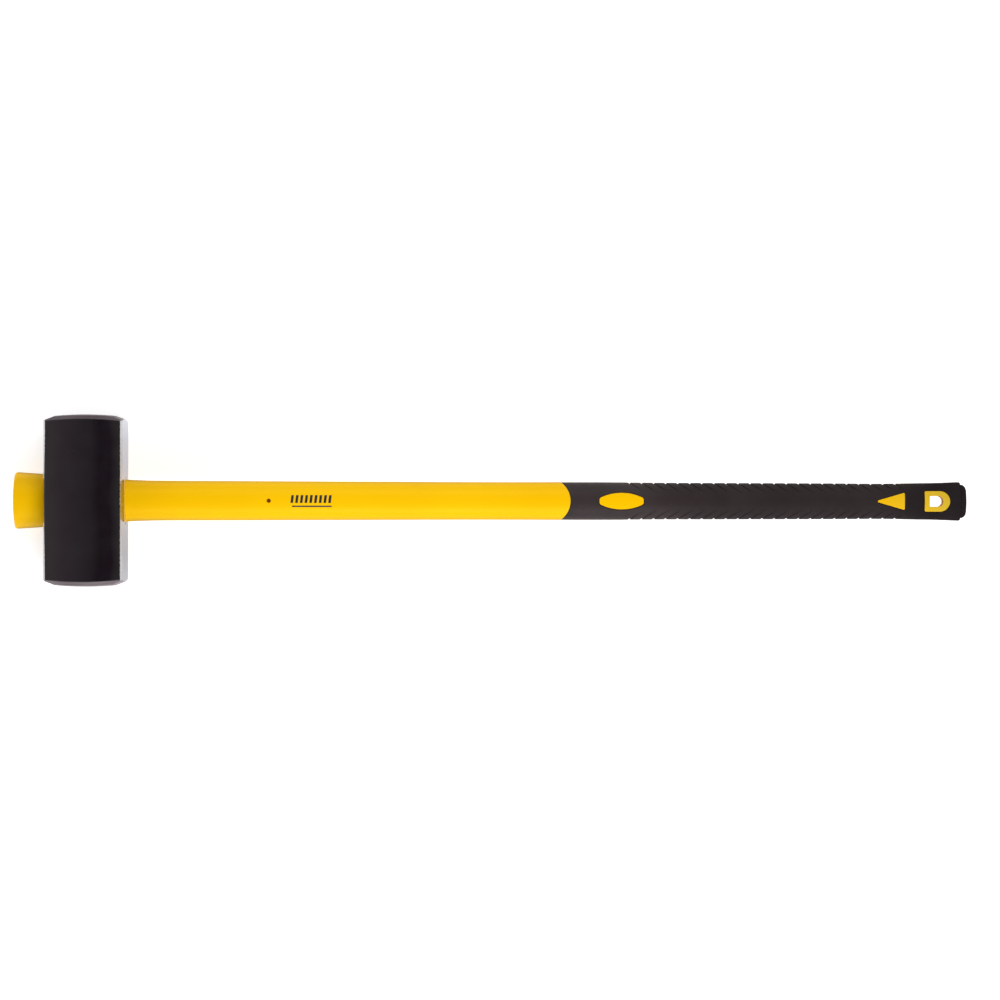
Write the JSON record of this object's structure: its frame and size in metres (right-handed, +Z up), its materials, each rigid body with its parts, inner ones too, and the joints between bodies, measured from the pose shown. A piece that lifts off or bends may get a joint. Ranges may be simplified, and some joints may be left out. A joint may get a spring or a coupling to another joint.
{
  "type": "sledgehammer",
  "caption": "Long-handled sledgehammer: square steel head with two crowned faces on a glass-fibre handle with a plastic jacket and a ribbed rubber grip.",
  "frame": {"origin": "centre of the cheek that the hammer lies on, level with the floor", "axes": "+X along the handle from head to butt, Y along the striking direction, +Z up from cheek to cheek"},
  "size_m": [0.8999, 0.1626, 0.0744],
  "materials": {
    "head_steel": "black satin lacquer on the two cheeks, bare ground steel elsewhere",
    "rod_fibre": "pale glass fibre in resin",
    "jacket_plastic": "yellow moulded plastic, semi-gloss",
    "grip_rubber": "matte black soft rubber",
    "resin": "dark cured epoxy"
  },
  "bodies": {
    "root": {"head": "head_steel", "core_rod": "rod_fibre", "handle_jacket": "jacket_plastic", "grip": "grip_rubber", "eye_resin": "resin"}
  },
  "joints": []
}
